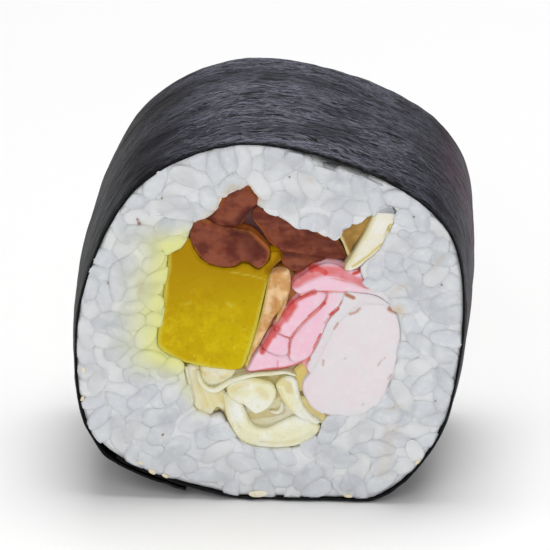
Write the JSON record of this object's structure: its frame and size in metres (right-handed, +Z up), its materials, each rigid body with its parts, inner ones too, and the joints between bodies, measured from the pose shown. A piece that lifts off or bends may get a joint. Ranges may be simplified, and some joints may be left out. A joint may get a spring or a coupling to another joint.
{
  "type": "maki sushi roll slice",
  "caption": "Thick slice of maki sushi standing on its nori side: rice ring wrapped in nori round pickled radish, gourd strips, crab stick and cabbage.",
  "frame": {"origin": "under the middle of the slice, on the surface that it stands on", "axes": "+Y along the roll, from the shown cut face to the back one; +Z up; +X across the slice, to the right seen from the shown face"},
  "size_m": [0.0474, 0.0264, 0.0472],
  "materials": {
    "nori": "damp, fibrous, softly glossy",
    "rice": "moist cooked grains",
    "pickled_radish": "moist, slightly translucent",
    "gourd_strip": "moist, simmered brown",
    "crab_stick_red": "moist, pink with red outer lines",
    "crab_stick_white": "moist, smooth",
    "cabbage": "moist, cream to pale yellow",
    "cabbage_leaf": "moist, olive",
    "cabbage_stained": "moist, tan"
  },
  "bodies": {
    "root": {"nori": "nori", "rice": "rice", "pickled_radish": "pickled_radish", "gourd_strip_upper": "gourd_strip", "gourd_strip_lower": "gourd_strip", "gourd_strip_right": "gourd_strip", "crab_sheet_top": "crab_stick_red", "crab_sheet_left": "crab_stick_red", "crab_sheet_middle": "crab_stick_red", "crab_sheet_right": "crab_stick_red", "crab_sheet_end": "crab_stick_red", "crab_sheet_bottom": "crab_stick_red", "crab_core": "crab_stick_white", "cabbage_curls": "cabbage", "cabbage_rib": "cabbage", "cabbage_leaf": "cabbage_leaf", "cabbage_strip": "cabbage_stained"}
  },
  "joints": []
}
